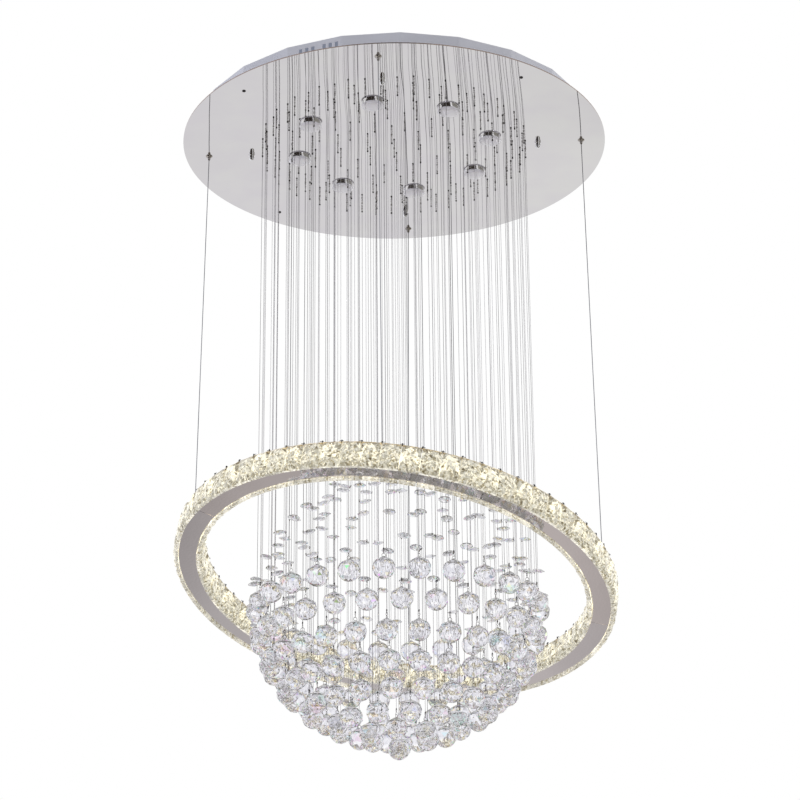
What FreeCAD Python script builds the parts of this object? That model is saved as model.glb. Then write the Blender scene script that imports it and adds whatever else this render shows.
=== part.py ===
import FreeCAD, Part
import math
import os

# Crystal chandelier: a faceted ceiling pan with a round mirror plate under it, eight downlights,
# strands of clear line that carry faceted crystal balls and octagon beads in the form of a sphere,
# and a tilted light ring that hangs on four steel cables round the strands.
# Lengths in millimetres, angles in degrees. Origin on the ceiling, on the axis of the plate; +Z up.

# Overall. The strands set the circle of the studs and the ring, and the ring's cables that of the plate.
strand_circle = 500.0      # the outermost strands
plate_thickness = 2.0
plate_overhang = 28.0      # from the pan's corners to the plate's edge
pan_height = 37.0
grid_azimuth = -4.4        # cables, nuts and the first strand of each circle start here
quarter_turns = 4

# Ceiling bracket and its studs
strap_end = 17.0           # from a stud's axis to the end of its strap
strap_width = 30.0
strap_thickness = 3.0
fixing_circle = 400.0      # pitch circle of the holes for the ceiling screws
fixing_hole = 6.6
stud_strand_gap = 23.0     # from the outermost strands out to the studs
stud_diameter = 6.0
stud_sides = 12
stud_below_plate = 8.0
stud_hole_clearance = 0.5

# Cap nuts
nut_diameter = 12.0
nut_height = 13.0
nut_bore_depth = 10.0
nut_sides = 6
nut_fit = 0.05
nut_shoulder_share = 0.54  # of the height, straight part of the nut
nut_crown_share = 0.85     # of the height, second ring of the dome
nut_crown_radius_share = 0.76
nut_tip_radius_share = 0.34

# Pan
pan_sides = 22
pan_reach = 17.0           # from the cables' circle out to the pan's corners
pan_corner_azimuth = 272.0
pan_wall = 1.5
pan_ceiling_gap = 0.5
flange_width = 20.0
vent_width = 6.5
vent_height = 18.0
vent_pitch = 12.0
vent_first = 11.0          # from the middle of the two groups to the first slot
vent_offset = 8.0          # from the middle of the facet to the middle of the groups
vent_group = 3
vent_facets = (1, 12)      # facets counted back from the corner azimuth

# Screws that hold the plate to the flange
screw_reach = 2.0          # from the cables' circle out to the screws
screw_azimuths = (130.2, -49.8, -139.8)
screw_head_diameter = 7.0
screw_head_height = 1.8
screw_diameter = 4.0
screw_end = 1.5            # reach past the flange
screw_sides = 6
screw_hole_clearance = 0.3

# Downlights
lamp_count = 8
lamp_strands = 3           # the lamps stand between the strands of the circle with this index
lamp_inset = 10.46         # and this far inside it
lamp_azimuth = 33.0
lamp_sides = 10
bezel_diameter = 39.5
bezel_wall = 3.0
bezel_height = 5.5
lens_diameter = 42.5
lens_thickness = 3.5
module_height = 27.0
module_clearance = 0.4
module_lens_gap = 0.3

# Driver and terminals on top of the plate
driver_length = 150.0
driver_width = 44.0
driver_height = 26.0
driver_offset = 62.0
driver_ear_length = 11.0
driver_ear_thickness = 3.0
driver_ear_hole = 4.0
driver_ear_sides = 6
terminal_length = 48.0
terminal_width = 20.0
terminal_height = 16.0
terminal_offset = -52.0
terminal_bevel = 5.0

# Cable grippers and cables
gripper_top_diameter = 13.0
gripper_tip_diameter = 5.0
gripper_height = 8.0
gripper_stub_diameter = 8.0
gripper_stub_height = 8.0
gripper_bore = 3.2
gripper_sides = 6
gripper_hole_clearance = 0.3
gripper_nut_width = 13.0
gripper_nut_height = 4.0
gripper_nut_sides = 6
cable_diameter = 1.5
cable_sides = 6
cable_tail = 14.0          # above the plate's top face

# Light ring
ring_drop = 878.0          # plate's underside to the middle of the ring's underside
ring_shift = 8.0           # the ring hangs this far to the left of the plate's axis
ring_tilt = 15.6
ring_fall_azimuth = 56.3   # the ring hangs lowest this way
ring_sides = 36
ring_ball_gap = 85.5       # from the outermost balls out to the ring's underside
ring_face_width = 32.0
cable_lean = 16.5          # the grippers stand this far inside the anchors
ring_cover_thickness = 1.5
ring_cover_gap = 0.4
ring_seam_facets = (1, 21) # corners with a seam, counted from the right hand cable
ring_box_height = 30.0     # from the covers' underside to the top plate's face
ring_top_thickness = 2.0
strip_thickness = 2.5
crystal_height = 50.0
crystal_overhang = 3.5     # reach below the covers' underside
crystal_depth = 11.0
crystals_per_side = 2
crystal_gap = 1.0
crystal_bevel = 5.0
anchor_diameter = 8.0
anchor_height = 8.0
anchor_bore = 4.0
anchor_bore_depth = 7.0
anchor_cable_depth = 3.0
anchor_sides = 8

# Strands: one entry per circle, from the outside in
strand_counts = (26, 26, 26, 24, 18, 12, 6)
strand_turn_shares = (-0.07, 0.43, -0.03, 0.0, 0.0, 0.5, 0.0)
line_diameter = 1.0
line_sides = 3
sphere_drop = 919.5        # plate's underside to the sphere's equator
sphere_depth = 233.0
centre_ball_drop = 249.0
latitude_steps = 7         # from the equator down to the centre strand
ball_diameter = 40.0
ball_sides = 5
ball_belt_height_share = 0.447
ball_belt_radius_share = 0.894
ball_top_gap = 0.3

# Octagon beads
bead_diameter = 22.0
bead_thickness = 6.0
bead_sides = 8
bead_line_gap = 0.2
bead_over_ball = 12.0      # lower bead, over the top of its ball
bead_over_ball_circles = 2
dome_height = 243.0
dome_wave_height = 9.0
bead_tilt_angle = 14.0
bead_swing_angle = 50.0
bead_phase_angle = 40.0
golden_angle = 137.5

overrun = 1.0

# Circles worked out from the sizes above
ring_face_inner = strand_circle / 2 + ball_diameter / 2 + ring_ball_gap
ring_face_outer = ring_face_inner + ring_face_width
anchor_radius = (ring_face_inner + ring_face_outer) / 2
gripper_circle = 2 * (anchor_radius - cable_lean)
screw_circle = gripper_circle + 2 * screw_reach
pan_corner_radius = gripper_circle / 2 + pan_reach
plate_diameter = 2 * (pan_corner_radius + plate_overhang)
stud_circle = strand_circle + 2 * stud_strand_gap
strap_length = stud_circle + 2 * strap_end

# Levels worked out from the sizes above
plate_top = -pan_height
plate_under = plate_top - plate_thickness
equator = plate_under - sphere_drop
flange_top = plate_top + pan_wall


def at(radius, azimuth, z=0.0):
    """A point at a radius and azimuth round the Z axis."""
    a = math.radians(azimuth)
    return FreeCAD.Vector(radius * math.cos(a), radius * math.sin(a), z)


def polygon(sides, radius, z, turn=0.0):
    """The corners of a regular polygon."""
    return [at(radius, turn + 360.0 * i / sides, z) for i in range(sides)]


def flat_face(points):
    return Part.Face(Part.makePolygon(points + points[:1]))


def solid_from(faces):
    solid = Part.makeSolid(Part.makeShell(faces))
    if solid.Volume < 0:
        solid.reverse()
    return solid


def faceted(rings, sides):
    """A faceted solid through rings (radius, z, turn); a radius of zero is a tip."""
    levels = []
    for radius, z, turn in rings:
        levels.append([at(0, 0, z)] if radius == 0 else polygon(sides, radius, z, turn))
    faces = []
    for low, high, turned in zip(levels, levels[1:], [a[2] != b[2] for a, b in zip(rings, rings[1:])]):
        for i in range(sides):
            j = (i + 1) % sides
            if len(low) == 1:
                faces.append(flat_face([low[0], high[i], high[j]]))
            elif len(high) == 1:
                faces.append(flat_face([low[i], low[j], high[0]]))
            elif turned:
                faces.append(flat_face([low[i], low[j], high[i]]))
                faces.append(flat_face([high[i], low[j], high[j]]))
            else:
                faces.append(flat_face([low[i], low[j], high[j], high[i]]))
    for level in (levels[0], levels[-1]):
        if len(level) > 1:
            faces.append(flat_face(level))
    return solid_from(faces)


def prism(sides, radius, low, high, turn=0.0):
    return faceted([(radius, low, turn), (radius, high, turn)], sides)


def across_flats(width, sides):
    """Corner radius of a regular polygon with this width between its flats."""
    return width / 2 / math.cos(math.pi / sides)


def sector(sides, first, last, inner, outer, low, high, turn=0.0):
    """A polygonal ring's stretch from facet corner first to corner last."""
    step = 360.0 / sides
    out = [at(outer, turn + step * i, low) for i in range(first, last + 1)]
    back = [at(inner, turn + step * i, low) for i in range(last, first - 1, -1)]
    return flat_face(out + back).extrude(FreeCAD.Vector(0, 0, high - low))


def polygon_ring(sides, inner, outer, low, high, turn=0.0):
    hole = prism(sides, inner, low - overrun, high + overrun, turn)
    return prism(sides, outer, low, high, turn).cut(hole)


def round_ring(shape, count, azimuth=0.0):
    """Copies of a shape round the Z axis."""
    copies = []
    for i in range(count):
        copy = shape.copy()
        copy.rotate(FreeCAD.Vector(0, 0, 0), FreeCAD.Vector(0, 0, 1), azimuth + 360.0 * i / count)
        copies.append(copy)
    return copies


def moved(shape, offset):
    copy = shape.copy()
    copy.translate(offset)
    return copy


def cylinder(diameter, low, high, x=0.0, y=0.0):
    return Part.makeCylinder(diameter / 2, high - low, FreeCAD.Vector(x, y, low))


def box(length, width, low, high, x=0.0, y=0.0):
    corner = FreeCAD.Vector(x - length / 2, y - width / 2, low)
    return Part.makeBox(length, width, high - low, corner)


def grid_points(circle):
    """The four places at the quarter turns of the grid, on a pitch circle."""
    return [at(circle / 2, grid_azimuth + 360.0 * i / quarter_turns) for i in range(quarter_turns)]


# Ceiling bracket

def ceiling_bracket():
    """Two crossed straps with a hole for a ceiling screw in each arm."""
    strap = box(strap_length, strap_width, -strap_thickness, 0)
    strap.rotate(FreeCAD.Vector(0, 0, 0), FreeCAD.Vector(0, 0, 1), grid_azimuth)
    cross = strap.fuse(round_ring(strap, 1, 360.0 / quarter_turns)[0]).removeSplitter()
    for p in grid_points(fixing_circle):
        cross = cross.cut(cylinder(fixing_hole, -strap_thickness - overrun, overrun, p.x, p.y))
    return cross


def bracket_studs():
    end = plate_under - stud_below_plate
    stud = prism(stud_sides, stud_diameter / 2, end, -strap_thickness)
    return [moved(stud, p) for p in grid_points(stud_circle)]


def cap_nut():
    """One domed nut with its blind bore, at the origin, with its seat at zero."""
    r = nut_diameter / 2
    rings = [
        (r, 0.0, 0.0),
        (r, -nut_height * nut_shoulder_share, 0.0),
        (r * nut_crown_radius_share, -nut_height * nut_crown_share, 0.0),
        (r * nut_tip_radius_share, -nut_height, 0.0),
    ]
    bore = across_flats(stud_diameter + 2 * nut_fit, nut_sides)
    return faceted(rings, nut_sides).cut(prism(nut_sides, bore, -nut_bore_depth, overrun))


# Pan and mirror plate

def facet_slot(facet, offset):
    """A cutter for one vent slot through a wall facet of the pan."""
    step = 360.0 / pan_sides
    apothem = pan_corner_radius * math.cos(math.radians(step / 2))
    middle = plate_top + pan_height / 2
    inside = apothem - pan_wall - overrun
    cutter = Part.makeBox(
        pan_wall + 2 * overrun, vent_width, vent_height,
        FreeCAD.Vector(inside, offset - vent_width / 2, middle - vent_height / 2),
    )
    azimuth = pan_corner_azimuth - step * (facet + 0.5)
    cutter.rotate(FreeCAD.Vector(0, 0, 0), FreeCAD.Vector(0, 0, 1), azimuth)
    return cutter


def pan_corner():
    """Corner radius over apothem for the pan's polygon."""
    return 1 / math.cos(math.pi / pan_sides)


def canopy_pan():
    """A folded sheet band that closes the gap between the plate and the ceiling."""
    inner = pan_corner_radius - pan_wall * pan_corner()
    pan = polygon_ring(
        pan_sides, inner, pan_corner_radius, plate_top, -pan_ceiling_gap, pan_corner_azimuth)
    for facet in vent_facets:
        for side in (-1, 1):
            for i in range(vent_group):
                pan = pan.cut(facet_slot(facet, vent_offset + side * (vent_first + vent_pitch * i)))
    return pan


def canopy_flange():
    """The ring inside the band's lower edge that the plate is screwed to."""
    outer = pan_corner_radius - pan_wall * pan_corner()
    inner = outer - flange_width * pan_corner()
    flange = polygon_ring(pan_sides, inner, outer, plate_top, flange_top, pan_corner_azimuth)
    return flange.cut(flange_holes(plate_top - overrun, flange_top + overrun))


def flange_holes(low, high):
    """Holes that the flange and the plate share, for the grippers and the screws."""
    holes = []
    radius = across_flats(gripper_stub_diameter + 2 * gripper_hole_clearance, gripper_sides)
    for p in grid_points(gripper_circle):
        holes.append(moved(prism(gripper_sides, radius, low, high), p))
    radius = screw_diameter / 2 + screw_hole_clearance
    for azimuth in screw_azimuths:
        holes.append(moved(prism(screw_sides, radius, low, high), at(screw_circle / 2, azimuth)))
    return holes


def mirror_plate():
    plate = cylinder(plate_diameter, plate_under, plate_top)
    low, high = plate_under - overrun, plate_top + overrun
    cutters = flange_holes(low, high)
    opening = bezel_diameter / 2 - bezel_wall
    lamp_hole = moved(prism(lamp_sides, opening, low, high), at(lamp_radius(), 0))
    cutters += round_ring(lamp_hole, lamp_count, lamp_azimuth)
    for p in grid_points(stud_circle):
        cutters.append(moved(prism(stud_sides, stud_diameter / 2 + stud_hole_clearance, low, high), p))
    return plate.cut(cutters)


def plate_screws():
    screws = []
    head = prism(screw_sides, screw_head_diameter / 2, plate_under - screw_head_height, plate_under)
    shank = prism(screw_sides, screw_diameter / 2, plate_under, flange_top + screw_end)
    screw = head.fuse(shank)
    for azimuth in screw_azimuths:
        screws.append(moved(screw, at(screw_circle / 2, azimuth)))
    return screws


# Downlights

def lamp_radius():
    return circle_radius(lamp_strands) - lamp_inset


def lamp_parts():
    """Bezel, lens and lamp module of one downlight on the X axis, and the copies of each."""
    place = at(lamp_radius(), 0)
    outer = bezel_diameter / 2
    inner = outer - bezel_wall
    bezel_end = plate_under - bezel_height
    lens_end = bezel_end - lens_thickness
    module_end = bezel_end + module_lens_gap
    bezel = polygon_ring(lamp_sides, inner, outer, bezel_end, plate_under)
    lens = prism(lamp_sides, lens_diameter / 2, lens_end, bezel_end)
    module = prism(lamp_sides, inner - module_clearance, module_end, module_end + module_height)
    return [round_ring(moved(p, place), lamp_count, lamp_azimuth) for p in (bezel, lens, module)]


def led_driver():
    """The driver's case with a mounting ear at each end."""
    ear_top = plate_top + driver_ear_thickness
    ends = driver_length + 2 * driver_ear_length
    case = box(driver_length, driver_width, plate_top, plate_top + driver_height, 0, driver_offset)
    case = case.fuse(box(ends, driver_width, plate_top, ear_top, 0, driver_offset)).removeSplitter()
    hole = prism(driver_ear_sides, driver_ear_hole / 2, plate_top - overrun, ear_top + overrun)
    reach = (driver_length + driver_ear_length) / 2
    return case.cut([moved(hole, FreeCAD.Vector(side * reach, driver_offset, 0)) for side in (-1, 1)])


def terminal_block():
    """A strip of terminals, bevelled along both upper edges where the wires go in."""
    half = terminal_width / 2
    high = terminal_height
    outline = [(-half, 0), (half, 0), (half, high - terminal_bevel), (half - terminal_bevel, high),
               (terminal_bevel - half, high), (-half, high - terminal_bevel)]
    start = -terminal_length / 2
    points = [FreeCAD.Vector(start, terminal_offset + y, plate_top + z) for y, z in outline]
    return flat_face(points).extrude(FreeCAD.Vector(terminal_length, 0, 0))


# Cable grippers, cables and anchors

def cable_grippers():
    stub_top = plate_top + gripper_stub_height
    cone = faceted([
        (gripper_tip_diameter / 2, plate_under - gripper_height, 0.0),
        (gripper_top_diameter / 2, plate_under, 0.0),
    ], gripper_sides)
    body = cone.fuse(prism(gripper_sides, gripper_stub_diameter / 2, plate_under, stub_top))
    bore = prism(gripper_sides, gripper_bore / 2, plate_under - gripper_height - overrun, stub_top + overrun)
    body = body.cut(bore)
    return [moved(body, p) for p in grid_points(gripper_circle)]


def gripper_nuts():
    outer = across_flats(gripper_nut_width, gripper_nut_sides)
    inner = gripper_stub_diameter / 2 + gripper_hole_clearance
    high = flange_top + gripper_nut_height
    nut = prism(gripper_nut_sides, outer, flange_top, high)
    nut = nut.cut(prism(gripper_sides, inner, flange_top - overrun, high + overrun))
    return [moved(nut, p) for p in grid_points(gripper_circle)]


def ring_placement():
    """From the ring's own level frame to where it hangs."""
    axis = at(1, ring_fall_azimuth + 90.0)
    turn = FreeCAD.Rotation(axis, ring_tilt)
    return FreeCAD.Placement(FreeCAD.Vector(-ring_shift, 0, plate_under - ring_drop), turn)


def anchor_points(height):
    """Points on the anchors' axes at a height over the ring's underside."""
    place = ring_placement()
    points = []
    for i in range(quarter_turns):
        points.append(place.multVec(at(anchor_radius, grid_azimuth + 360.0 * i / quarter_turns, height)))
    return points


def cable_between(low, high):
    """A straight cable from one point to another."""
    run = high - low
    cable = prism(cable_sides, cable_diameter / 2, 0, run.Length)
    cable.Placement = FreeCAD.Placement(low, FreeCAD.Rotation(FreeCAD.Vector(0, 0, 1), run))
    return cable


def cables():
    """The four cables in the order right, rear, left, front."""
    result = []
    for mouth, p in zip(anchor_points(ring_box_height + anchor_height), grid_points(gripper_circle)):
        gripper = p + FreeCAD.Vector(0, 0, plate_under - gripper_height / 2)
        direction = (gripper - mouth).normalize()
        reach = (plate_top + cable_tail - mouth.z) / direction.z
        result.append(cable_between(mouth - direction * anchor_cable_depth, mouth + direction * reach))
    return result


# Light ring, built level at the origin and then hung at its tilt

def hung(shapes):
    place = ring_placement()
    result = []
    for shape in shapes:
        copy = shape.copy()
        copy.Placement = place.multiply(copy.Placement)
        result.append(copy)
    return result


def ring_turn():
    """Facets start at the right hand cable."""
    return grid_azimuth


def ring_covers():
    """The two polished sheets that close the underside, with a seam between their ends."""
    seams = []
    for corner in ring_seam_facets:
        seam = box(
            ring_face_width + 2 * overrun, ring_cover_gap, -overrun, ring_cover_thickness + overrun, anchor_radius)
        seam.rotate(FreeCAD.Vector(0, 0, 0), FreeCAD.Vector(0, 0, 1), ring_turn() + 360.0 * corner / ring_sides)
        seams.append(seam)
    first, second = ring_seam_facets
    covers = []
    for start, end in ((first, second), (second, first + ring_sides)):
        cover = sector(
            ring_sides, start, end, ring_face_inner, ring_face_outer, 0, ring_cover_thickness, ring_turn())
        covers.append(cover.cut(seams))
    return covers


def ring_top_plate():
    """The plate that closes the ring above and carries the anchors."""
    low = ring_box_height - ring_top_thickness
    return polygon_ring(
        ring_sides, ring_face_inner, ring_face_outer, low, ring_box_height, ring_turn())


def led_strips():
    """Light strips on metal bands, the outer and inner walls between the covers and the top."""
    low = ring_cover_thickness
    high = ring_box_height - ring_top_thickness
    outer = polygon_ring(
        ring_sides, ring_face_outer - strip_thickness, ring_face_outer, low, high, ring_turn())
    inner = polygon_ring(
        ring_sides, ring_face_inner, ring_face_inner + strip_thickness, low, high, ring_turn())
    return outer, inner


def ring_crystals(corner_radius, outward):
    """Bevelled blocks that stand side by side on the facets of a strip."""
    step = 360.0 / ring_sides
    half_angle = math.radians(step / 2)
    seat = corner_radius * math.cos(half_angle)
    facet = 2 * corner_radius * math.sin(half_angle)
    front = seat + outward * crystal_depth
    if outward < 0:
        facet = 2 * front / math.cos(half_angle) * math.sin(half_angle)
    pitch = facet / crystals_per_side
    wide = (pitch - crystal_gap) / 2
    narrow = wide - crystal_bevel

    def rectangle(x, half_width, inset):
        low, high = inset - crystal_overhang, crystal_height - crystal_overhang - inset
        corners = [(-half_width, low), (half_width, low), (half_width, high), (-half_width, high)]
        return [FreeCAD.Vector(x, y, z) for y, z in corners]

    back = rectangle(seat, wide, 0.0)
    face = rectangle(front, narrow, crystal_bevel)
    faces = [flat_face(back), flat_face(face)]
    for i in range(len(back)):
        j = (i + 1) % len(back)
        faces.append(flat_face([back[i], back[j], face[j], face[i]]))
    block = solid_from(faces)
    blocks = []
    for k in range(crystals_per_side):
        offset = pitch * (k + 0.5 - crystals_per_side / 2)
        blocks += round_ring(moved(block, FreeCAD.Vector(0, offset, 0)), ring_sides, ring_turn() + step / 2)
    return blocks


def ring_anchors():
    radius = anchor_diameter / 2
    low = ring_box_height
    high = low + anchor_height
    post = prism(anchor_sides, radius, low, high)
    post = post.cut(prism(anchor_sides, anchor_bore / 2, high - anchor_bore_depth, high + overrun))
    return round_ring(moved(post, at(anchor_radius, 0)), quarter_turns, grid_azimuth)


# Strands

def circle_radius(index):
    return strand_circle / 2 * math.cos(math.radians(90.0 * index / latitude_steps))


def latitude_sine(index):
    return math.sin(math.radians(90.0 * index / latitude_steps))


def strand_places(index):
    """Azimuth and point of each strand on one circle."""
    count = strand_counts[index]
    step = 360.0 / count
    first = grid_azimuth + 270.0 + step * strand_turn_shares[index]
    azimuths = [first + step * i for i in range(count)]
    return [(a, at(circle_radius(index), a)) for a in azimuths]


def ball_height(index):
    return equator - sphere_depth * latitude_sine(index)


def crystal_ball():
    """One faceted ball at the origin: a five sided crown and base, and a belt of triangles between."""
    r = ball_diameter / 2
    belt = r * ball_belt_height_share
    wide = r * ball_belt_radius_share
    half_step = 180.0 / ball_sides
    return faceted([(0, -r, 0.0), (wide, -belt, 0.0), (wide, belt, half_step), (0, r, half_step)], ball_sides)


def octagon_bead():
    r = bead_diameter / 2
    half = bead_thickness / 2
    return faceted([(0, -half, 0.0), (r, 0, 0.0), (0, half, 0.0)], bead_sides)


def bead_beside(point, azimuth, height, number):
    """A bead that hangs beside its line, turned and tilted a little."""
    wobble = math.sin(math.radians(golden_angle * number))
    phase = 2 * golden_angle * number + bead_phase_angle
    swing = bead_swing_angle * math.sin(math.radians(phase))
    side = azimuth + swing + (180.0 if number % 2 else 0.0)
    apothem = bead_diameter / 2 * math.cos(math.pi / bead_sides)
    away = apothem + line_diameter / 2 + bead_line_gap
    bead = octagon_bead()
    bead.rotate(FreeCAD.Vector(0, 0, 0), FreeCAD.Vector(0, 0, 1), side + 180.0 / bead_sides)
    bead.rotate(FreeCAD.Vector(0, 0, 0), at(1, side + 90.0), bead_tilt_angle * wobble)
    bead.translate(point + at(away, side, height))
    return bead


def strand_line(point, ball_z):
    """One line from the plate's underside down to the top of its ball."""
    low = ball_z + ball_diameter / 2 + ball_top_gap
    return moved(prism(line_sides, line_diameter / 2, low, plate_under), point)


def strand_circle_parts(index):
    """Lines, balls and beads of one circle."""
    lines, balls, beads = [], [], []
    ball = crystal_ball()
    z = ball_height(index)
    for number, (azimuth, point) in enumerate(strand_places(index)):
        lines.append(strand_line(point, z))
        balls.append(moved(ball, point + FreeCAD.Vector(0, 0, z)))
        if index < bead_over_ball_circles:
            low = z + ball_diameter / 2 + bead_over_ball
            beads.append(bead_beside(point, azimuth, low, number + 1))
        if index > 0:
            wave = dome_wave_height * math.sin(math.radians(golden_angle * number))
            high = equator + dome_height * latitude_sine(index) + wave
            beads.append(bead_beside(point, azimuth, high, number))
    return lines, balls, beads


def centre_strand():
    z = equator - centre_ball_drop
    origin = FreeCAD.Vector(0, 0, 0)
    ball = moved(crystal_ball(), FreeCAD.Vector(0, 0, z))
    bead = bead_beside(origin, grid_azimuth, equator + dome_height, 1)
    return strand_line(origin, z), ball, bead


def write(name, solids):
    shape = solids[0] if len(solids) == 1 else Part.makeCompound(solids)
    shape.exportStep(os.path.join("parts", name + ".step"))


def main():
    os.makedirs("parts", exist_ok=True)
    write("ceiling_bracket", [ceiling_bracket()])
    write("bracket_studs", bracket_studs())
    nut = cap_nut()
    for side, p in zip(("right", "rear", "left", "front"), grid_points(stud_circle)):
        write("cap_nut_" + side, [moved(nut, p + FreeCAD.Vector(0, 0, plate_under))])
    write("canopy_pan", [canopy_pan()])
    write("canopy_flange", [canopy_flange()])
    write("mirror_plate", [mirror_plate()])
    write("plate_screws", plate_screws())
    bezels, lenses, modules = lamp_parts()
    write("lamp_bezels", bezels)
    write("lamp_lenses", lenses)
    write("lamp_modules", modules)
    write("led_driver", [led_driver()])
    write("terminal_block", [terminal_block()])
    write("cable_grippers", cable_grippers())
    write("gripper_nuts", gripper_nuts())
    for side, cable in zip(("right", "rear", "left", "front"), cables()):
        write("cable_" + side, [cable])
    rear_cover, front_cover = hung(ring_covers())
    write("ring_cover_rear", [rear_cover])
    write("ring_cover_front", [front_cover])
    write("ring_top_plate", hung([ring_top_plate()]))
    outer_strip, inner_strip = hung(led_strips())
    write("outer_led_strip", [outer_strip])
    write("inner_led_strip", [inner_strip])
    write("outer_crystals", hung(ring_crystals(ring_face_outer, 1)))
    write("inner_crystals", hung(ring_crystals(ring_face_inner, -1)))
    write("ring_anchors", hung(ring_anchors()))
    for index in range(len(strand_counts)):
        lines, balls, beads = strand_circle_parts(index)
        write("strand_lines_%d" % (index + 1), lines)
        write("crystal_balls_%d" % (index + 1), balls)
        write("octagon_beads_%d" % (index + 1), beads)
    line, ball, bead = centre_strand()
    write("centre_line", [line])
    write("centre_ball", [ball])
    write("centre_bead", [bead])


main()
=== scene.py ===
import math
import random

import bpy
import numpy as np
from mathutils import Matrix, Vector


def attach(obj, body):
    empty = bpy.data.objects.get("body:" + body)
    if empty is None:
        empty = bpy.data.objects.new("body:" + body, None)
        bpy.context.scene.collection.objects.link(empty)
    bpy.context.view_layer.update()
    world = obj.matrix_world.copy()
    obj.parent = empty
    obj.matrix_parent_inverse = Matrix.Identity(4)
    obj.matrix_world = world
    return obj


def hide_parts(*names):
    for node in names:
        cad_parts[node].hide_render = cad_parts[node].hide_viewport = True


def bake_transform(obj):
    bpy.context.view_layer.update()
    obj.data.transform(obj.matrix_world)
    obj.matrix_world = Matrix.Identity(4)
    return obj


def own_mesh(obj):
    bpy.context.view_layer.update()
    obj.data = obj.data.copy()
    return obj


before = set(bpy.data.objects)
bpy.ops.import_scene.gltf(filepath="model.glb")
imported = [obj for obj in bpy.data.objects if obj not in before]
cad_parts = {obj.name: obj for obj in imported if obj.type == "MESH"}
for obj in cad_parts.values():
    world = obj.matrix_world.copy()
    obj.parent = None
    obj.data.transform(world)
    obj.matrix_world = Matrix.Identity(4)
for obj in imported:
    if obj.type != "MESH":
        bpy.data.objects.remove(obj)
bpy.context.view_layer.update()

# Sizes in metres, the same as the solids. Azimuths and tilts are in degrees.

# Plate and fittings
PLATE_UNDER = -0.039
PLATE_TOP = -0.037
GRID = -4.4
SIDES = ("right", "rear", "left", "front")
CROSS = [GRID + 90 * i for i in range(4)]
STUD_RADIUS = 0.273
GRIPPER_RADIUS = 0.355
GRIPPER_MID = PLATE_UNDER - 0.004
SCREW_RADIUS = 0.357
SCREW_AZIMUTHS = (130.2, -49.8, -139.8)
LAMP_RADIUS = 0.185
LAMP_AZIMUTHS = [33.0 + 45 * i for i in range(8)]
SAG_START = 0.02
SAG_END = -0.38
SAG_CURVE = -0.028
SAG_LEAN = -0.014
CEILING_RADIUS = 0.362
CEILING_LEVEL = 0.0003

# Light ring
RING_CENTRE = Vector((-0.008, 0.0, PLATE_UNDER - 0.878))
RING_TILT = 15.6
RING_FALL = 56.3
FACE_OUTER = 0.3875
FACE_INNER = 0.3555
COVER = 0.0015
COVER_EDGE = 0.0006
COVER_GAP = 0.0006
COVER_ENDS = {"ring_cover_rear": (8.6, 212.0), "ring_cover_front": (212.0, 368.6)}
RING_HEIGHT = 0.030
RING_TOP = 0.002

# A crystal block of the ring
RING_BLOCKS = 72
BLOCK_STEP = 360.0 / RING_BLOCKS
BLOCK_HEIGHT = 0.050
BLOCK_OVERHANG = 0.0035
BLOCK_LOW, BLOCK_HIGH = -BLOCK_OVERHANG, BLOCK_HEIGHT - BLOCK_OVERHANG
BLOCK_DEPTH = 0.0105
BLOCK_GAP = 0.0006
# Its facets: how far their corners shift, as shares of its half width and height, then shares of its depth,
# and how steeply the face falls to its sides and ends
COLUMNS, ROWS = 9, 11
SHIFT_ACROSS, SHIFT_UP = 0.09, 0.035
EDGE_SHARE, BEVEL_SHARE = 0.45, 0.45
FACE_WAVE, BACK_WAVE = 0.10, 0.06
SIDE_SLOPE, END_SLOPE = 2.2, 8.0
# Its seats on the strips, and the pins between the blocks
OUTER_SEAT = 0.3876
INNER_SEAT = 0.3539
PIN_AWAY = 0.0060
PIN_RISE, WIRE_RISE = 0.0010, 0.0005
WIRE_SWAY = 0.002
WIRE_LEAN = 12

# Cables
ANCHOR_TOP = 0.038
ANCHOR_RADIUS = (FACE_OUTER + FACE_INNER) / 2
CABLE_RADIUS = 0.00075
CABLE_BEND = 0.34
CABLE_STEPS = 24
CABLE_FOOT = 0.003
CABLE_TAIL = 0.014

# Strands: balls on a half sphere, beads on a dome over it
STRAND_COUNTS = (26, 26, 26, 24, 18, 12, 6)
STRAND_TURNS = (-0.07, 0.43, -0.03, 0.0, 0.0, 0.5, 0.0)
STRAND_RADIUS = 0.250
STEPS = 7
EQUATOR = PLATE_UNDER - 0.9195
DEPTH = 0.233
CENTRE_BALL = 0.249
BALL = 0.020
BALL_SIDES = 10
BALL_LATITUDES = (-80, -62, -40, -16, 8, 32)
BALL_CROWN = ((0.56, 0.72), (0.30, 0.865), (0.07, 1.0))
BALL_SWAY = 4
DOME = 0.243
DOME_WAVE = 0.009
BEAD = 0.011
BEAD_SIDES = 8
BEAD_ROWS = ((0.5, -0.0028), (0.99, -0.0004), (1.0, 0.0004), (0.5, 0.0028))
BEAD_OVER_BALL = 0.012
BEADED_BALL_CIRCLES = 2
BEAD_GAP = 0.0002
BEAD_TILT = 14.0
BEAD_SWING = 50.0
BEAD_PHASE = 40.0
GOLDEN = 137.5

# Lines, and what is crimped or hung on them: levels over the top of the ball or the middle of the bead
LINE = 0.0005
LINE_SHOWN = 0.75 * LINE
LINE_END = 0.0080
TWIST_LOW, TWIST_HIGH = 0.0085, 0.0130
TWIST_STEP = 0.0023
TWIST_RADIUS = 0.0011
THREAD = 0.0004
CRIMP_DROP = 0.0185
BALL_CRIMP = 0.0140
BEAD_CRIMP = -0.0013
JUMP_RING_RISE, SMALL_RING_RISE, PIN_RING_RISE = 0.0017, 0.0064, 0.0008
SMALL_RING_TURN = 80

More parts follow.
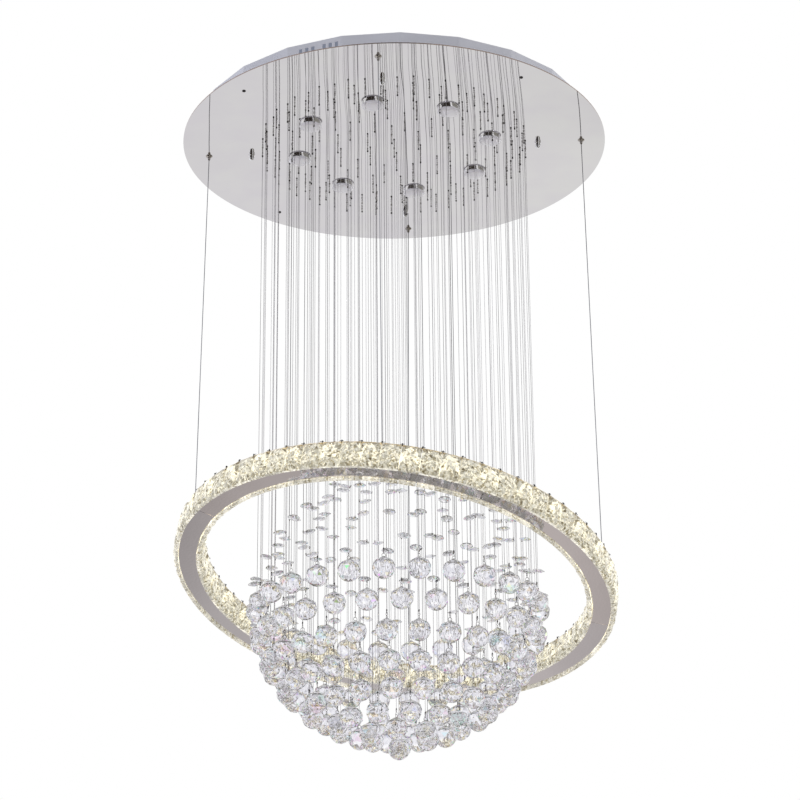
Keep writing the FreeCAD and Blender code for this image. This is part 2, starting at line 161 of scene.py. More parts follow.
# Sizes of crimps, as (radius, length), and of rings, as (radius, radius of the wire)
PLATE_CRIMP_SIZE = (0.0015, 0.0029)
BALL_CRIMP_SIZE = (0.0011, 0.0024)
BEAD_CRIMP_SIZE = (0.0008, 0.0018)
JUMP_RING_SIZE = (0.0033, 0.0004)
SMALL_RING_SIZE = (0.0019, 0.0003)
PIN_RING_SIZE = (0.0013, 0.0003)

# Turned forms, as (radius, z); the fittings start from the plate's underside
NUT_PROFILE = (
    (0.0032, -0.0090), (0.0032, 0.0), (0.0058, 0.0), (0.0062, -0.0006), (0.0062, -0.0028), (0.0050, -0.0033),
    (0.0050, -0.0070), (0.0047, -0.0095), (0.0036, -0.0118), (0.0019, -0.0129), (0.0, -0.0131))
GRIPPER_PROFILE = (
    (0.0016, -0.0080), (0.0016, 0.0100), (0.0040, 0.0100), (0.0040, 0.0), (0.0062, 0.0), (0.0065, -0.0005),
    (0.0060, -0.0013), (0.0036, -0.0026), (0.0027, -0.0046), (0.0024, -0.0074), (0.0020, -0.0080),
    (0.0016, -0.0080))
SCREW_PROFILE = (
    (0.0, 0.0030), (0.0020, 0.0030), (0.0020, 0.0), (0.0034, 0.0), (0.0035, -0.0005), (0.0029, -0.0013),
    (0.0014, -0.0018), (0.0012, -0.0010), (0.0, -0.0010))
BEZEL_PROFILE = (
    (0.0167, -0.0054), (0.0167, 0.0), (0.0190, 0.0), (0.0196, -0.0006), (0.0196, -0.0044), (0.0192, -0.0052),
    (0.0184, -0.0055), (0.0167, -0.0054))
LENS_PROFILE = (
    (0.0, -0.0055), (0.0208, -0.0055), (0.0212, -0.0058), (0.0196, -0.0070), (0.0160, -0.0081),
    (0.0110, -0.0087), (0.0, -0.0089))
COLLAR_PROFILE = ((0.0, 0.0), (0.0017, 0.0), (0.0017, -0.0007), (0.0009, -0.0009), (0.0, -0.0009))
PIN_PROFILE = (
    (0.0, 0.0012), (0.0011, 0.0009), (0.0014, 0.0), (0.0011, -0.0009), (0.0006, -0.0012), (0.0006, -0.0040),
    (0.0, -0.0040))
WIRE_PROFILE = ((0.0, 0.0036), (0.00045, 0.0034), (0.00045, -0.0034), (0.0, -0.0036))

# Pieces are shaded smooth up to these angles between their faces
SHEET_SMOOTH, TURNED_SMOOTH, WIRE_SMOOTH = 30, 35, 40

# Colours and tones
WHITE = (1.0, 1.0, 1.0)
BLACK = (0.0, 0.0, 0.0)
# Painted glints: coloured facet tones that stand for the flashes of cut glass
GLINTS = (
    (0.62, 0.90, 1.0), (1.0, 0.78, 0.55), (0.68, 0.73, 1.0), (1.0, 0.92, 0.60), (0.98, 0.72, 0.90),
    (0.68, 0.95, 0.86))
# Painted glints, gold and pink, and painted shade for the underside of a ball
BALL_UNDERSIDE = ((0.45, 0.40, 0.36), (1.0, 0.88, 0.52), (0.72, 0.62, 0.56), (0.98, 0.80, 0.86))
LINE_GREYS = (0.20, 0.42, 0.60, 0.75, 0.85, 0.92)
DARK_TONE = (0.025, 0.02, 0.018)
TWIST_TONES = (DARK_TONE, (0.12, 0.10, 0.09), (0.50, 0.48, 0.46), (0.78, 0.76, 0.75))
RING_TONE = (0.20, 0.19, 0.18)
COLLAR_TONE = (0.5, 0.49, 0.48)
BEAD_CRIMP_TONE = (0.14, 0.08, 0.06)
# Painted glow of the ring blocks, from darkest to brightest
LIT_STOPS = (
    (0.0, (0.14, 0.11, 0.06)), (0.25, (0.44, 0.42, 0.35)), (0.5, (0.75, 0.75, 0.70)),
    (0.75, (1.06, 1.03, 0.90)), (1.0, (1.42, 1.38, 1.20)))
# Painted brown shade along the top of a ring block
CROWN_TONES = ((0.66, 0.54, 0.32), (0.46, 0.37, 0.23), (0.84, 0.72, 0.48), (0.58, 0.55, 0.50))
# How bright the painted glow under a ring block is, one picked per block
BLOCK_UNDERSIDE = (0.66, 0.8, 1.05)

rng = random.Random(7)


# Mesh building

def at(radius, azimuth, z=0.0):
    a = math.radians(azimuth)
    return Vector((radius * math.cos(a), radius * math.sin(a), z))


class Shape:
    """Points, faces and a tone for each face, gathered before they become one mesh."""

    def __init__(self):
        self.points, self.faces, self.tones = [], [], []

    def add(self, part, matrix=None, tone=WHITE):
        """Adds a part. Its tone is a colour, or a function of a face's centre in the part's own space."""
        points, faces = part
        start = len(self.points)
        for p in points:
            self.points.append(matrix @ Vector(p) if matrix is not None else Vector(p))
        for f in faces:
            self.faces.append([start + i for i in f])
            if callable(tone):
                self.tones.append(tone(sum((Vector(points[i]) for i in f), Vector()) / len(f)))
            else:
                self.tones.append(tone)


def finish_mesh(name, shape, material, body, replaces=(), smooth=None):
    """Makes the piece, gives its faces their tones, and lets it ride on its body, if it has one."""
    mesh = bpy.data.meshes.new(name)
    mesh.from_pydata([tuple(p) for p in shape.points], [], shape.faces)
    attribute = mesh.color_attributes.new("tone", "FLOAT_COLOR", "CORNER")
    colours = np.ones((len(mesh.loops), 4), np.float32)
    for polygon, tone in zip(mesh.polygons, shape.tones):
        for i in polygon.loop_indices:
            colours[i, :3] = tone
    attribute.data.foreach_set("color", colours.ravel())
    mesh.validate()
    if smooth is not None:
        mesh.shade_smooth()
        mesh.set_sharp_from_angle(angle=math.radians(smooth))
    mesh.materials.append(material)
    piece = bpy.data.objects.new(name, mesh)
    bpy.context.collection.objects.link(piece)
    if body:
        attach(piece, body)
    if replaces:
        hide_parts(*replaces)
    return piece


def caps(count, total):
    """The end faces of a form whose first and last rows of points have this count."""
    return [list(reversed(range(count))), list(range(total - count, total))]


def lathe(profile, sides):
    """A turned form through (radius, z) points; a radius of zero is a tip."""
    points, rows, faces = [], [], []
    for radius, z in profile:
        if radius == 0:
            rows.append([len(points)])
            points.append((0, 0, z))
        else:
            rows.append(list(range(len(points), len(points) + sides)))
            points += [tuple(at(radius, 360.0 * i / sides, z)) for i in range(sides)]
    for a, b in zip(rows, rows[1:]):
        for i in range(sides):
            j = (i + 1) % sides
            if len(a) == 1:
                faces.append([a[0], b[j], b[i]])
            elif len(b) == 1:
                faces.append([a[i], a[j], b[0]])
            else:
                faces.append([a[i], a[j], b[j], b[i]])
    return points, faces


def staggered(rows, sides, turn=0.0):
    """A faceted form: rows at (radius, z), each half a step on from the last, joined by triangles."""
    step = 360.0 / sides
    points, faces = [], []
    for k, (radius, z) in enumerate(rows):
        points += [tuple(at(radius, step * (i + 0.5 * (k % 2) + turn), z)) for i in range(sides)]
    for k in range(len(rows) - 1):
        a, b = k * sides, (k + 1) * sides
        for i in range(sides):
            j = (i + 1) % sides
            if k % 2 == 0:
                faces += [[a + i, a + j, b + i], [a + j, b + j, b + i]]
            else:
                faces += [[a + i, b + j, b + i], [a + i, a + j, b + j]]
    return points, faces + caps(sides, len(points))


def torus(major, minor, sides, section):
    points, faces = [], []
    for i in range(sides):
        a = 2 * math.pi * i / sides
        for j in range(section):
            b = 2 * math.pi * j / section
            r = major + minor * math.cos(b)
            points.append((r * math.cos(a), r * math.sin(a), minor * math.sin(b)))
    for i in range(sides):
        for j in range(section):
            k, m = (i + 1) % sides, (j + 1) % section
            faces.append([i * section + j, k * section + j, k * section + m, i * section + m])
    return points, faces


def tube(path, radius, sides):
    """A capped tube along points that run mostly up or down."""
    points, faces = [], []
    for p in path:
        points += [tuple(Vector(p) + at(radius, 360.0 * i / sides)) for i in range(sides)]
    for k in range(len(path) - 1):
        a, b = k * sides, (k + 1) * sides
        for i in range(sides):
            j = (i + 1) % sides
            faces.append([a + i, a + j, b + j, b + i])
    return points, faces + caps(sides, len(points))


def arc_band(section, sides, first=0.0, last=360.0):
    """A closed section of (radius, z) points swept round a circle, or round part of it and capped."""
    count = len(section)
    whole = last - first == 360.0
    points, faces = [], []
    for k in range(sides if whole else sides + 1):
        azimuth = first + (last - first) * k / sides
        points += [tuple(at(r, azimuth, z)) for r, z in section]
    for k in range(sides):
        m = (k + 1) % sides if whole else k + 1
        for i in range(count):
            j = (i + 1) % count
            faces.append([k * count + i, m * count + i, m * count + j, k * count + j])
    return points, faces if whole else faces + caps(count, len(points))


# Nodes

# The colour sockets of a Mix node, which share their names with those of its other kinds
MIX_A, MIX_B, MIX_RESULT = 6, 7, 2


def set_inputs(node, values):
    for name, value in values.items():
        node.inputs[name].default_value = value


def plug(tree, socket, value):
    """Gives a socket its value, or links it when the value is the output of another node."""
    if isinstance(value, bpy.types.NodeSocket):
        tree.links.new(value, socket)
    else:
        socket.default_value = value


def mix(tree, kind, factor, a, b):
    """A Mix node for colours. Each of the three is a value or an output."""
    node = tree.nodes.new("ShaderNodeMix")
    node.data_type = "RGBA"
    node.blend_type = kind
    plug(tree, node.inputs["Factor"], factor)
    plug(tree, node.inputs[MIX_A], a)
    plug(tree, node.inputs[MIX_B], b)
    return node.outputs[MIX_RESULT]


def multiply(tree, a, b):
    return mix(tree, "MULTIPLY", 1.0, a, b)


def math_node(tree, operation, *values):
    """A Math node. Each of its values is a number or an output."""
    node = tree.nodes.new("ShaderNodeMath")
    node.operation = operation
    for socket, value in zip(node.inputs, values):
        plug(tree, socket, value)
    return node.outputs[0]


def map_range(tree, source, low, high, to_low=0.0, to_high=1.0, kind="LINEAR"):
    node = tree.nodes.new("ShaderNodeMapRange")
    node.interpolation_type = kind
    set_inputs(node, {"From Min": low, "From Max": high, "To Min": to_low, "To Max": to_high})
    tree.links.new(source, node.inputs["Value"])
    return node.outputs[0]


def ramp(tree, source, stops):
    node = tree.nodes.new("ShaderNodeValToRGB")
    elements = node.color_ramp.elements
    while len(elements) < len(stops):
        elements.new(0.5)
    for element, (position, colour) in zip(elements, stops):
        element.position = position
        element.color = (*colour, 1.0)
    tree.links.new(source, node.inputs[0])
    return node.outputs[0]


def coordinates(tree, kind="Object"):
    return tree.nodes.new("ShaderNodeTexCoord").outputs[kind]


def axes(tree, vector):
    split = tree.nodes.new("ShaderNodeSeparateXYZ")
    tree.links.new(vector, split.inputs[0])
    return [split.outputs[name] for name in "XYZ"]


def noise(tree, scale, detail=2.0, kind="Object"):
    node = tree.nodes.new("ShaderNodeTexNoise")
    set_inputs(node, {"Scale": scale, "Detail": detail})
    tree.links.new(coordinates(tree, kind), node.inputs["Vector"])
    return node.outputs[0]


def cells(tree, scale, kind="Object"):
    """The outputs of small cells, each with a colour of its own and the distance to its middle."""
    node = tree.nodes.new("ShaderNodeTexVoronoi")
    node.inputs["Scale"].default_value = scale
    tree.links.new(coordinates(tree, kind), node.inputs["Vector"])
    return node.outputs


def bump(tree, height, distance, target):
    """Bumps the normal of a shader, or the normal that another bump starts from."""
    node = tree.nodes.new("ShaderNodeBump")
    set_inputs(node, {"Distance": distance, "Strength": 1.0})
    tree.links.new(height, node.inputs["Height"])
    tree.links.new(node.outputs[0], target.inputs["Normal"])


def upright_size(tree):
    """How far a face is from upright: 0 for a wall, 1 for a floor."""
    geometry = tree.nodes.new("ShaderNodeNewGeometry")
    return math_node(tree, "ABSOLUTE", axes(tree, geometry.outputs["True Normal"])[2])


def toned(tree, tint=WHITE):
    """The colour that each face of the mesh carries, times a tint."""
    tone = tree.nodes.new("ShaderNodeVertexColor")
    tone.layer_name = "tone"
    return multiply(tree, tone.outputs["Color"], (*tint, 1.0))


# Materials

def shader(name, values):
    """A material of one shader, with the values that are the same all over it."""
    material = bpy.data.materials.new(name)
    material.use_nodes = True
    tree = material.node_tree
    tree.nodes.clear()
    out = tree.nodes.new("ShaderNodeOutputMaterial")
    bsdf = tree.nodes.new("ShaderNodeBsdfPrincipled")
    set_inputs(bsdf, values)
    tree.links.new(bsdf.outputs[0], out.inputs[0])
    return material, tree, bsdf


def metal(name, low, high, roughness, wave_scale, wave):
    """Bare metal: a colour that drifts a little, uneven polish and a faint wave in the sheet."""
    material, tree, bsdf = shader(name, {"Metallic": 1.0})
    drift = ramp(tree, noise(tree, 15.0), [(0.3, low), (0.7, high)])
    tree.links.new(drift, bsdf.inputs["Base Color"])
    polish = map_range(tree, noise(tree, 60.0, 4.0), 0.0, 1.0, roughness * 0.6, roughness * 1.4)
    tree.links.new(polish, bsdf.inputs["Roughness"])
    bump(tree, noise(tree, wave_scale, 1.0), wave, bsdf)
    return material


def paint(name, low, high, roughness, grain_scale, grain):
    """Paint or plastic: a slight cloud in the colour and an orange peel or moulded grain."""
    material, tree, bsdf = shader(name, {"Roughness": roughness})
    cloud = ramp(tree, noise(tree, 9.0, 3.0), [(0.35, low), (0.65, high)])
    tree.links.new(cloud, bsdf.inputs["Base Color"])
    bump(tree, noise(tree, grain_scale), grain, bsdf)
    return material


def crystal(name, tint, ior, edge, glow):
    """Cut glass in the tones of its mesh, with painted shade where a facet turns away and painted spectral
    glints there.

    The cells stand for the cuts of the far side, which show through the near one. A glow, where given, is
    painted light that lifts the darker facets.
    """
    material, tree, bsdf = shader(name, {
        "Transmission Weight": 1.0, "Roughness": 0.0, "IOR": ior,
        "Emission Color": (1.0, 0.985, 0.97, 1.0), "Emission Strength": glow})
    facing = tree.nodes.new("ShaderNodeLayerWeight").outputs["Facing"]
    # Painted shade: the colour darkens where a facet turns away.
    shade = ramp(tree, facing, [(0.0, WHITE), (0.66, (0.97, 0.97, 0.98)), (0.93, edge)])
    hues = cells(tree, 420.0)["Color"]
    cuts = ramp(tree, hues, [(0.25, (0.89, 0.89, 0.89)), (0.45, (0.98, 0.98, 0.98)), (0.75, WHITE)])
    body = multiply(tree, multiply(tree, toned(tree, tint), shade), cuts)
    # Painted glints: spectral specks where a facet turns away.
    specks = ramp(tree, cells(tree, 260.0)["Color"], [(0.76, BLACK), (0.77, (0.9, 0.9, 0.9))])
    rims = ramp(tree, facing, [(0.25, BLACK), (0.45, WHITE)])
    tree.links.new(mix(tree, "MIX", multiply(tree, specks, rims), body, hues), bsdf.inputs["Base Color"])
    return material


def lit_crystal(name):
    """The blocks of the ring: cut glass that glows with painted light, facet by facet, standing in for the
    light of the strip behind it.
    """
    material, tree, bsdf = shader(name, {
        "Emission Strength": 0.5, "Transmission Weight": 0.3, "Roughness": 0.05, "IOR": 1.5})
    # Painted sparkle: the cells make the glow uneven, some of them brighter than white.
    cuts = ramp(tree, cells(tree, 330.0)["Color"], [
        (0.2, (0.55, 0.50, 0.38)), (0.36, (0.95, 0.95, 0.93)), (0.62, WHITE), (0.8, (1.25, 1.24, 1.18))])
    # The tones, painted light, set the glow as well as the colour.
    for socket, tint in (("Base Color", (0.58, 0.57, 0.55)), ("Emission Color", (0.95, 0.935, 0.90))):
        tree.links.new(multiply(tree, toned(tree, tint), cuts), bsdf.inputs[socket])
    return material


def lens_glass(name):
    """The pale lens of a downlight, a little frosted, with a faint glow of painted light."""
    # Its faint emission is painted light that brightens the lens.
    material, tree, bsdf = shader(name, {
        "Emission Color": (0.96, 0.95, 1.0, 1.0), "Emission Strength": 0.07, "Roughness": 0.35,
        "Transmission Weight": 0.3, "IOR": 1.35})
    frost = ramp(tree, noise(tree, 60.0), [(0.35, (0.91, 0.90, 0.97)), (0.65, (0.98, 0.97, 1.0))])
    tree.links.new(frost, bsdf.inputs["Base Color"])
    bump(tree, noise(tree, 500.0, 1.0), 0.00004, bsdf)
    return material


def small_metal(name):
    """Crimps, twists, pins and jump rings: small metal parts in the tones of their mesh."""
    material, tree, bsdf = shader(name, {"Metallic": 0.2, "Roughness": 0.45})
    stain = ramp(tree, noise(tree, 400.0), [(0.3, (0.75, 0.72, 0.68)), (0.7, WHITE)])
    tree.links.new(multiply(tree, toned(tree), stain), bsdf.inputs["Base Color"])
    return material


def mirror(name):
    """The polished plate: a sheet that bends a little towards its front edge, with a darker, brownish rim."""
    material = metal(name, (0.79, 0.77, 0.785), (0.82, 0.81, 0.80), 0.015, 5.0, 0.0012)
    tree = material.node_tree
    bsdf = next(n for n in tree.nodes if n.type == "BSDF_PRINCIPLED")
    wave = next(n for n in tree.nodes if n.type == "BUMP")
    base = bsdf.inputs["Base Color"]
    # The upright rim is darker and brownish.
    rim = ramp(tree, upright_size(tree), [(0.5, (0.42, 0.33, 0.28)), (0.6, WHITE)])
    tree.links.new(multiply(tree, base.links[0].from_socket, rim), base)
    x, y = axes(tree, coordinates(tree))[:2]
    near = map_range(tree, y, SAG_START, SAG_END, kind="SMOOTHSTEP")
    slope = math_node(tree, "MULTIPLY_ADD", x, SAG_CURVE, SAG_LEAN)
    height = math_node(tree, "MULTIPLY", math_node(tree, "MULTIPLY", near, slope), x)
    bump(tree, height, 1.0, wave)
    return material


def light_strip(name):
    """A light strip behind the crystals: warm, in brighter and duller patches, with dark edges."""
    material, tree, bsdf = shader(name, {
        "Base Color": (0.80, 0.76, 0.66, 1.0), "Roughness": 0.5, "Emission Strength": 1.1})
    patches = ramp(tree, noise(tree, 34.0, 1.0), [
        (0.36, (0.40, 0.34, 0.24)), (0.5, (0.90, 0.84, 0.66)), (0.62, (1.0, 0.97, 0.86))])
    edges = ramp(tree, upright_size(tree), [(0.6, WHITE), (0.7, (0.05, 0.05, 0.05))])
    tree.links.new(multiply(tree, patches, edges), bsdf.inputs["Emission Color"])
    return material


def clear_line(name):
    """The line of the strands, in the tones of its mesh, a little uneven along its length."""
    material, tree, bsdf = shader(name, {"Roughness": 0.28, "Transmission Weight": 0.25})
    tree.links.new(toned(tree), bsdf.inputs["Base Color"])
    bump(tree, noise(tree, 900.0, 1.0), 0.00005, bsdf)
    return material


MIRROR = mirror("mirror_steel")
# The two covers are the same steel; the warmer tint of the front one is painted light.
COVER_STEEL = {
    "ring_cover_rear": metal(
        "ring_steel_rear", (0.83, 0.81, 0.81), (0.87, 0.85, 0.85), 0.015, 240.0, 0.00003),
    "ring_cover_front": metal(
        "ring_steel_front", (0.85, 0.81, 0.79), (0.89, 0.85, 0.83), 0.015, 240.0, 0.00003),
}
CHROME = metal("chrome", (0.86, 0.86, 0.88), (0.92, 0.92, 0.93), 0.02, 40.0, 0.00003)
NICKEL = metal("dark_nickel", (0.30, 0.27, 0.24), (0.46, 0.43, 0.40), 0.08, 90.0, 0.00005)
ZINC = metal("zinc_steel", (0.50, 0.51, 0.52), (0.62, 0.63, 0.64), 0.35, 90.0, 0.0002)
ALUMINIUM = metal("aluminium", (0.66, 0.67, 0.69), (0.74, 0.75, 0.76), 0.30, 90.0, 0.0001)
CABLE = metal("cable_steel", (0.26, 0.26, 0.28), (0.38, 0.38, 0.40), 0.35, 700.0, 0.0002)
CRIMP = small_metal("crimp_metal")
DARK = paint("dark_screw", (0.03, 0.028, 0.03), (0.06, 0.055, 0.055), 0.4, 400.0, 0.0001)
WHITE_PAINT = paint("white_paint", (0.72, 0.73, 0.80), (0.78, 0.79, 0.86), 0.35, 300.0, 0.00012)
DRIVER = paint("driver_plastic", (0.72, 0.72, 0.70), (0.80, 0.80, 0.78), 0.5, 500.0, 0.0001)
TERMINAL = paint("terminal_plastic", (0.74, 0.72, 0.64), (0.82, 0.80, 0.72), 0.5, 500.0, 0.0001)
# The balls' faint glow is painted light that lifts their darker facets.
CRYSTAL = crystal("crystal", (0.99, 0.985, 0.97), 1.32, (0.50, 0.49, 0.48), 0.022)
OCTAGON = crystal("octagon_crystal", (1.0, 1.0, 0.99), 1.22, (0.50, 0.50, 0.49), 0.0)
RING_CRYSTAL = lit_crystal("ring_crystal")
LENS = lens_glass("lens_glass")
GLOW = light_strip("led_diffuser")
LINES = clear_line("strand_line")

CAD_MATERIALS = {
    "ceiling_bracket": ZINC, "bracket_studs": ZINC, "canopy_pan": WHITE_PAINT, "canopy_flange": WHITE_PAINT,
    "mirror_plate": MIRROR, "lamp_modules": ALUMINIUM, "led_driver": DRIVER, "terminal_block": TERMINAL,
    "gripper_nuts": ZINC, "outer_led_strip": GLOW, "inner_led_strip": GLOW, "ring_anchors": CHROME,
}
for node, material in CAD_MATERIALS.items():
    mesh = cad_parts[node].data
    mesh.materials.clear()
    mesh.materials.append(material)


# Canopy fittings

def turned(profile, sides, radius, azimuths):
    """One turned form at each azimuth, on the plate's underside."""
    part, shape = lathe(profile, sides), Shape()
    for azimuth in azimuths:
        shape.add(part, Matrix.Translation(at(radius, azimuth, PLATE_UNDER)))
    return shape


def fitting_pieces():
    for side, azimuth in zip(SIDES, CROSS):
        nut, node = turned(NUT_PROFILE, 24, STUD_RADIUS, [azimuth]), "cap_nut_" + side
        finish_mesh("nut_" + side, nut, CHROME, node, [node], TURNED_SMOOTH)
    grippers = turned(GRIPPER_PROFILE, 20, GRIPPER_RADIUS, CROSS)
    finish_mesh("grippers", grippers, NICKEL, "canopy", ["cable_grippers"], TURNED_SMOOTH)
    screws = turned(SCREW_PROFILE, 16, SCREW_RADIUS, SCREW_AZIMUTHS)
    finish_mesh("screw_heads", screws, DARK, "canopy", ["plate_screws"], TURNED_SMOOTH)
    bezels = turned(BEZEL_PROFILE, 40, LAMP_RADIUS, LAMP_AZIMUTHS)
    finish_mesh("bezels", bezels, CHROME, "canopy", ["lamp_bezels"], TURNED_SMOOTH)
    lenses = turned(LENS_PROFILE, 40, LAMP_RADIUS, LAMP_AZIMUTHS)
    finish_mesh("lenses", lenses, LENS, "canopy", ["lamp_lenses"], TURNED_SMOOTH)


# Strands

def ball_facets():
    """A cut ball: rows of facets, with a crown that rises to a blunt point where the ball is hung."""
    latitudes = [math.radians(latitude) for latitude in BALL_LATITUDES]
    rows = [(BALL * math.cos(a), BALL * math.sin(a)) for a in latitudes]
    rows += [(BALL * radius, BALL * z) for radius, z in BALL_CROWN]
    return staggered(rows, BALL_SIDES)


def bead_facets():
    """An octagon bead: a small table on each side and a thin girdle."""
    return staggered([(BEAD * radius, z) for radius, z in BEAD_ROWS], BEAD_SIDES, -0.5)


BALL_PART = ball_facets()
BEAD_PART = bead_facets()
JUMP_RING = torus(*JUMP_RING_SIZE, 12, 4)
SMALL_RING = torus(*SMALL_RING_SIZE, 10, 4)
PIN_RING = torus(*PIN_RING_SIZE, 8, 4)
COLLAR = lathe(COLLAR_PROFILE, 8)
UPRIGHT = Matrix.Rotation(math.pi / 2, 4, "X")


def grey(low, high, red=1.0, green=1.0, blue=1.0):
    value = rng.uniform(low, high)
    return (value * red, value * green, value * blue)


def ball_tone(centre):
    """Nearly clear glass with a few painted spectral glints, a warmer, slightly darker crown of painted shade,
    and painted gold glints and dark shade underneath.
    """
    chance = rng.random()
    # Painted glints
    if chance < 0.035:
        return rng.choice(GLINTS)
    # Painted shade on the crown, warmer and a little darker
    if centre.z > 0.62 * BALL:
        return grey(0.80, 1.0, 1.0, 0.985, 0.95)
    # Painted glints and shade underneath
    if centre.z < -0.78 * BALL and chance < 0.45:
        return rng.choice(BALL_UNDERSIDE)
    if chance < 0.40:
        return grey(0.86, 0.95, 0.99, 0.99, 1.03)
    return (0.98, 0.98, 0.995)


def bead_tone(centre):
    """Nearly clear glass, with painted shade on facets of the upper side and a few painted spectral glints."""
    chance = rng.random()
    # Painted glints
    if chance < 0.02:
        return rng.choice(GLINTS)
    # Painted shade on the upper side
    if centre.z > 0 and chance < 0.5:
        return grey(0.66, 0.90, 1.0, 0.985, 0.95)
    if chance < 0.3:
        return grey(0.82, 0.95, 1.0, 1.0, 0.98)
    return (0.97, 0.97, 0.985)


def line_tone():
    g = rng.choice(LINE_GREYS)
    return (g, g * 0.98, g)


def strand_places(index):
    """The azimuth and the place of each strand of a circle."""
    step = 360.0 / STRAND_COUNTS[index]
    first = GRID + 270.0 + step * STRAND_TURNS[index]
    radius = STRAND_RADIUS * math.cos(math.radians(90.0 * index / STEPS))
    return [(first + step * i, at(radius, first + step * i)) for i in range(STRAND_COUNTS[index])]


def bead_matrix(x, y, azimuth, height, number):
    """A bead beside its line, swung round it and tilted in a way of its own."""
    wobble = math.sin(math.radians(GOLDEN * number))
    swing = BEAD_SWING * math.sin(math.radians(2 * GOLDEN * number + BEAD_PHASE))
    side = azimuth + swing + (180.0 if number % 2 else 0.0)
    away = BEAD * math.cos(math.pi / BEAD_SIDES) + LINE + BEAD_GAP
    turn = Matrix.Rotation(math.radians(side), 4, "Z")
    tilt = Matrix.Rotation(math.radians(BEAD_TILT * wobble), 4, at(1, side + 90.0))
    return Matrix.Translation(Vector((x, y, 0)) + at(away, side, height)) @ tilt @ turn


def bead_levels(index, number, top):
    """The level and the number of each bead on a strand: over its ball, on the dome, or both."""
    levels = []
    if index < BEADED_BALL_CIRCLES:
        levels.append((top + BEAD_OVER_BALL, number + 1))
    if index > 0:
        wave = DOME_WAVE * math.sin(math.radians(GOLDEN * number)) if index < STEPS else 0.0
        level = EQUATOR + DOME * math.sin(math.radians(90.0 * index / STEPS)) + wave
        levels.append((level, number if index < STEPS else 1))
    return levels


def twisted_line(fittings, x, y, high, low):
    """Doubled line, unevenly twisted, between two levels; it shows as dashes."""
    steps = max(2, round((high - low) / TWIST_STEP))
    levels = [low + (high - low) * k / steps for k in range(steps + 1)]
    turns = [rng.uniform(0, 180)]
    for k in range(steps):
        turns.append(turns[-1] + rng.uniform(40, 140))
    for half in (0, 180):
        for k in range(steps):
            ends = [Vector((x, y, levels[m])) + at(TWIST_RADIUS, half + turns[m]) for m in (k, k + 1)]
            fittings.add(tube(ends, THREAD, 4), tone=rng.choice(TWIST_TONES))


def crimp(x, y, z, radius, length):
    """A crimp tube on a line, round the level z."""
    half = length / 2
    part = lathe([(0, half), (radius, 0.85 * half), (radius, -0.85 * half), (0, -half)], 6)
    return part, Matrix.Translation((x, y, z))


def strand_set(index, places, ball_z):
    """The lines, balls, beads and small fittings of one circle of strands."""
    lines, balls, beads, fittings = Shape(), Shape(), Shape(), Shape()
    top = ball_z + BALL
    for number, (azimuth, point) in enumerate(places):
        x, y = point.x, point.y
        lines.add(tube([(x, y, top + LINE_END), (x, y, PLATE_UNDER)], LINE_SHOWN, 6), tone=line_tone())
        twisted_line(fittings, x, y, PLATE_UNDER, PLATE_UNDER - CRIMP_DROP)
        twisted_line(fittings, x, y, top + TWIST_HIGH, top + TWIST_LOW)
        fittings.add(COLLAR, Matrix.Translation((x, y, PLATE_UNDER)), COLLAR_TONE)
        fittings.add(*crimp(x, y, PLATE_UNDER - CRIMP_DROP, *PLATE_CRIMP_SIZE), DARK_TONE)
        fittings.add(*crimp(x, y, top + BALL_CRIMP, *BALL_CRIMP_SIZE), DARK_TONE)
        facing = rng.uniform(0, 180)
        for ring, rise, turn in ((JUMP_RING, JUMP_RING_RISE, facing),
                                 (SMALL_RING, SMALL_RING_RISE, facing + SMALL_RING_TURN)):
            stand = Matrix.Rotation(math.radians(turn), 4, "Z") @ UPRIGHT
            fittings.add(ring, Matrix.Translation((x, y, top + rise)) @ stand, RING_TONE)
        turn = Matrix.Rotation(math.radians(rng.uniform(0, 360 / BALL_SIDES)), 4, "Z")
        sway = Matrix.Rotation(math.radians(rng.uniform(-BALL_SWAY, BALL_SWAY)), 4, at(1, rng.uniform(0, 360)))
        balls.add(BALL_PART, Matrix.Translation((x, y, ball_z)) @ sway @ turn, ball_tone)
        for height, seed in bead_levels(index, number, top):
            beads.add(BEAD_PART, bead_matrix(x, y, azimuth, height, seed), bead_tone)
            fittings.add(*crimp(x, y, height + BEAD_CRIMP, *BEAD_CRIMP_SIZE), BEAD_CRIMP_TONE)
            fittings.add(PIN_RING, Matrix.Translation((x, y, height + PIN_RING_RISE)) @ UPRIGHT, RING_TONE)
    return lines, balls, beads, fittings


def write_strands(parts, tag, line_node, ball_node, bead_node):
    lines, balls, beads, fittings = parts
    finish_mesh("lines" + tag, lines, LINES, "canopy", [line_node])
    finish_mesh("balls" + tag, balls, CRYSTAL, "canopy", [ball_node])
    finish_mesh("beads" + tag, beads, OCTAGON, "canopy", [bead_node])
    finish_mesh("crimps" + tag, fittings, CRIMP, "canopy", smooth=WIRE_SMOOTH)


def strand_pieces():
    for index in range(STEPS):
        z = EQUATOR - DEPTH * math.sin(math.radians(90.0 * index / STEPS))
        tag = "_%d" % (index + 1)
        circle = strand_set(index, strand_places(index), z)
        write_strands(circle, tag, "strand_lines" + tag, "crystal_balls" + tag, "octagon_beads" + tag)
    centre = strand_set(STEPS, [(GRID, Vector((0, 0, 0)))], EQUATOR - CENTRE_BALL)
    write_strands(centre, "_8", "centre_line", "centre_ball", "centre_bead")


# Light ring

RING = Matrix.Translation(RING_CENTRE) @ Matrix.Rotation(math.radians(RING_TILT), 4, at(1, RING_FALL + 90.0))
COVER_SECTION = (
    (FACE_INNER + COVER_EDGE, 0.0), (FACE_OUTER - COVER_EDGE, 0.0), (FACE_OUTER, COVER_EDGE),
    (FACE_OUTER, COVER), (FACE_INNER, COVER), (FACE_INNER, COVER_EDGE))
TOP_SECTION = (
    (FACE_INNER, RING_HEIGHT - RING_TOP), (FACE_OUTER, RING_HEIGHT - RING_TOP), (FACE_OUTER, RING_HEIGHT),
    (FACE_INNER, RING_HEIGHT))


